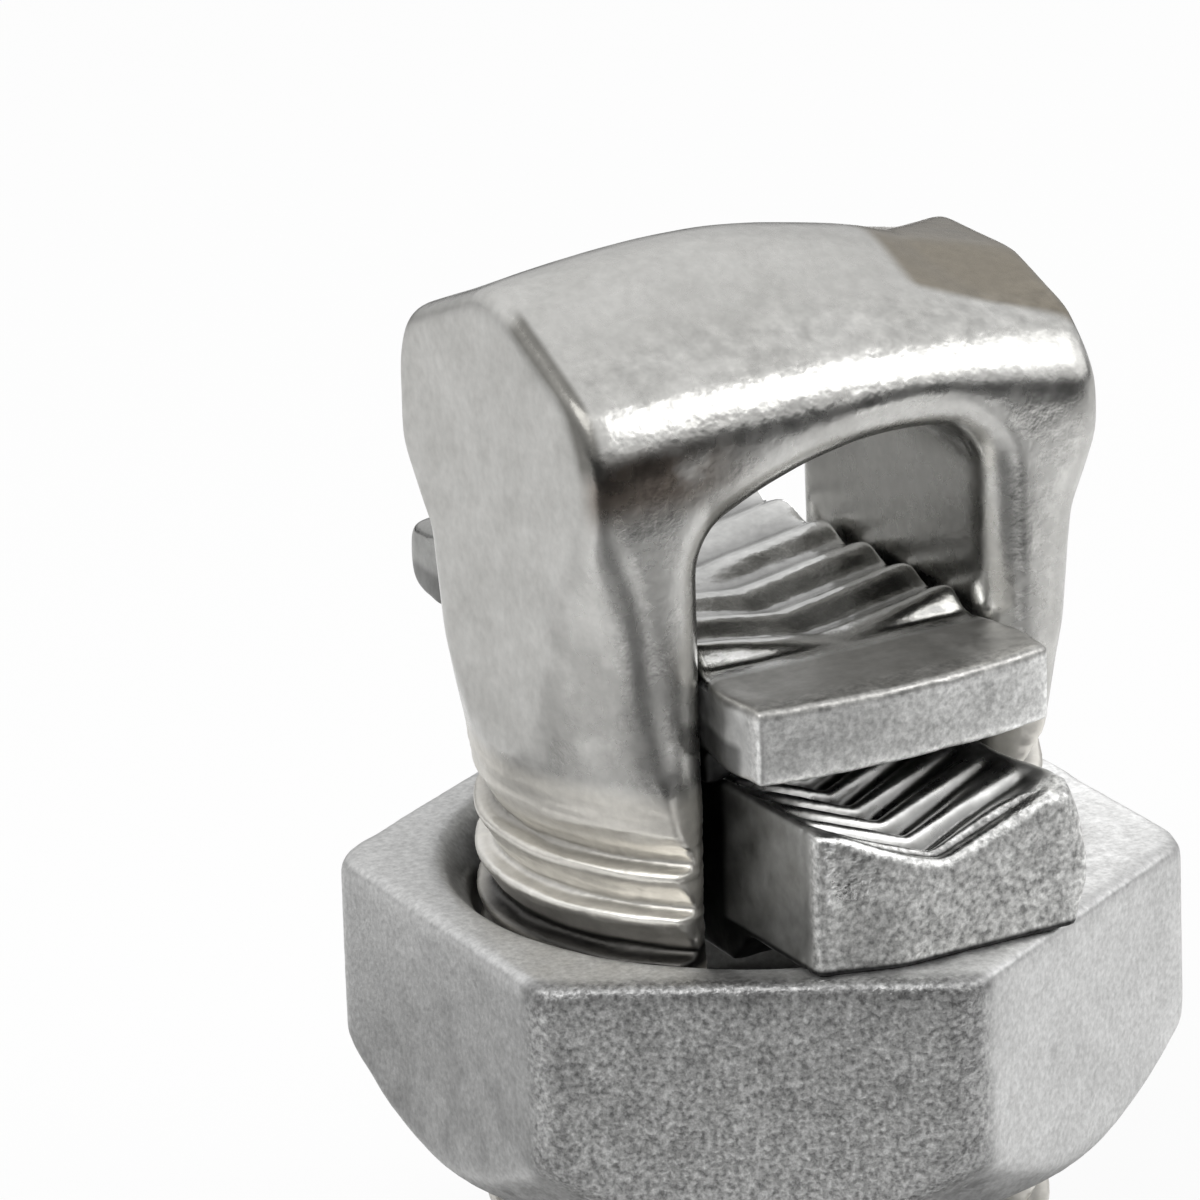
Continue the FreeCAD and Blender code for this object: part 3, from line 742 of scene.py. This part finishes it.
def upper_jaw_metal():
    m = Metal("upper_jaw_tin", *SPACER_TIN)
    # darker hollows and lighter crests all over the upper jaw: painted shade and painted
    # highlights as well as wear
    m.wear_shade_and_sheen(valley=0.35, crest=1.3)
    # painted highlight: the ramps at the front of the upper jaw are made near white
    ramp = m.zone((m.z, 31.1, 31.25), (m.y, -5.6, -6.1))
    m.tint(ramp, RAMP_HIGHLIGHT)
    # painted shade on the top of the upper jaw's lip
    lip_top_shade = m.zone((m.z, 30.6, 30.9), (m.y, -7.0, -7.3))
    m.tint(lip_top_shade, LEG_AND_LIP_SHADE)
    stub = m.zone((m.y, 12.5, 13.5))
    m.tint(stub, STUB_GREY)
    # painted shade under the lips
    lip_underside = m.zone((m.z, 29.5, 29.1), (m.y, -10.0, -9.4))
    m.tint(lip_underside, LIP_UNDER_SHADE)
    # painted shade on the skirt below the lips
    skirt = m.zone((m.z, 28.2, 27.9), (m.y, -10.0, -8.5))
    m.tint(skirt, SKIRT_SHADOW)
    front = m.zone((m.y, -9.8, -10.7))
    m.grains(size=0.24, contrast=0.26, depth=0.012, share=front)
    m.grains(size=0.5, contrast=0.1, depth=0.015)
    teeth = m.zone((m.z, 30.3, 30.7), (m.y, -7.2, -6.6))
    return m.finish(m.n.between(teeth, SPACER_ROUGHNESS))


def upper_teeth(x, y, z):
    return step(z, 30.2, 30.7) * step(abs(y - SPACER_MIDDLE), 8.8, 8.2)


def back_end(x, y, z):
    return step(y, 13.0, 14.6)


def make_upper_jaw():
    obj = solid_copy("spacer_bar", "upper_jaw")
    regrid(obj, JAW_VOXEL)
    soften(obj, rounds=10)
    soften(obj, rounds=24, share=upper_teeth)
    soften(obj, rounds=40, share=back_end)
    relief(obj, size=2.0, height=0.05)
    relief(obj, size=0.7, height=0.012)
    mark_edges(obj, rounds=40, depth=0.12)
    thin_out(obj, JAW_KEPT)
    dress(obj, upper_jaw_metal(), "spacer", "spacer_bar")


def hide_card(obj, material):
    """Dresses a card of the studio, which only reflections show."""
    obj.data.materials.append(material)
    obj.visible_camera = False
    obj.visible_diffuse = False
    obj.visible_shadow = False


def glow_material(name, level):
    n = Nodes(bpy.data.materials.new(name))
    return n.close(n.glow(level))


def make_wall(name, low, high, level, start, end):
    """A standing band of the studio round the part, between two angles."""
    points = []
    for i in range(WALL_STEPS + 1):
        turn = math.radians(start + (end - start) * i / WALL_STEPS)
        for z in (low, high):
            points.append((WALL_RADIUS * math.cos(turn), WALL_RADIUS * math.sin(turn), z))
    faces = [(2 * i, 2 * i + 2, 2 * i + 3, 2 * i + 1) for i in range(WALL_STEPS)]
    hide_card(mesh_object(name, points, faces), glow_material(name, level))


def make_card(name, place, width, height, level):
    """A small upright card that faces y, with its lower left corner at the place."""
    low, run, rise = Vector(place), Vector((width, 0, 0)), Vector((0, 0, height))
    points = [low, low + run, low + run + rise, low + rise]
    hide_card(mesh_object(name, points, [(0, 1, 2, 3)]), glow_material(name, level))


def make_shade(name, centre, rim, core, level, height):
    """A soft round patch over the floor that darkens or lights what the metal mirrors."""
    n = Nodes(bpy.data.materials.new(name))
    share = n.fade(n.length(n.where()), rim, core)
    clear = n.add("ShaderNodeBsdfTransparent")
    shader = n.blend(share, clear, n.glow(level))
    obj = make_square(name, rim)
    obj.location = Vector((*centre, height)) * MM
    hide_card(obj, n.close(shader))


def make_floor():
    """Plain white to the camera, but matt below the part, where its shadow shows."""
    n = Nodes(bpy.data.materials.new("floor"))
    open_floor = n.fade(n.length(n.where()), MATT_RADIUS, WHITE_RADIUS, WHITE_SHARE)
    camera_ray = n.add("ShaderNodeLightPath").outputs["Is Camera Ray"]
    matt = n.add("ShaderNodeBsdfDiffuse", {"Color": FLOOR_COLOUR})
    shader = n.blend(n.product(camera_ray, open_floor), matt, n.glow(1))
    obj = make_square("floor", FLOOR_SIZE)
    obj.data.materials.append(n.close(shader))


def make_lamp(name, place, side, power):
    """A soft square lamp that points at the middle of the part."""
    data = bpy.data.lights.new(name, "AREA")
    data.shape = "SQUARE"
    data.size = side * MM
    data.energy = power
    obj = link(bpy.data.objects.new(name, data))
    spot = Vector(place) * MM
    aim = Vector(LAMP_AIM) * MM - spot
    obj.matrix_world = Matrix.Translation(spot) @ aim.to_track_quat("-Z", "Y").to_matrix().to_4x4()


def make_sky():
    """A grey world that the camera sees as white and reflections as nearly white."""
    n = Nodes(bpy.data.worlds.new("studio"))
    rays = n.add("ShaderNodeLightPath").outputs
    level = SKY_LEVEL
    for ray, more in SKY_MORE.items():
        inputs = {0: rays[ray], 1: more, 2: level}
        level = n.add("ShaderNodeMath", inputs, operation="MULTIPLY_ADD").outputs[0]
    sky = n.add("ShaderNodeBackground", {"Color": (1, 1, 1, 1), "Strength": level})
    bpy.context.scene.world = n.close(sky, "ShaderNodeOutputWorld")


def light_studio():
    make_sky()
    for lamp in LAMPS:
        make_lamp(*lamp)
    for wall in WALLS:
        make_wall(*wall)
    make_card("nut_light", place=(20, 27, 25), width=24, height=14, level=2.2)
    for shade in SHADES:
        make_shade(*shade)


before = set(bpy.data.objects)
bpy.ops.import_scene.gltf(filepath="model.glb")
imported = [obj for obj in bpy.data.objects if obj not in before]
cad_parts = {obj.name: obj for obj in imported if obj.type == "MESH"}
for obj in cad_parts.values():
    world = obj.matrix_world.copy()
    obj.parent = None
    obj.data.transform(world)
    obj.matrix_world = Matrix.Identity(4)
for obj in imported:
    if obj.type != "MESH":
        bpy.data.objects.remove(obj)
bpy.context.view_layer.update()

place_camera()
make_bolt()
make_nut()
make_lower_jaw()
make_upper_jaw()
make_floor()
light_studio()
bpy.context.scene.view_settings.view_transform = "Standard"
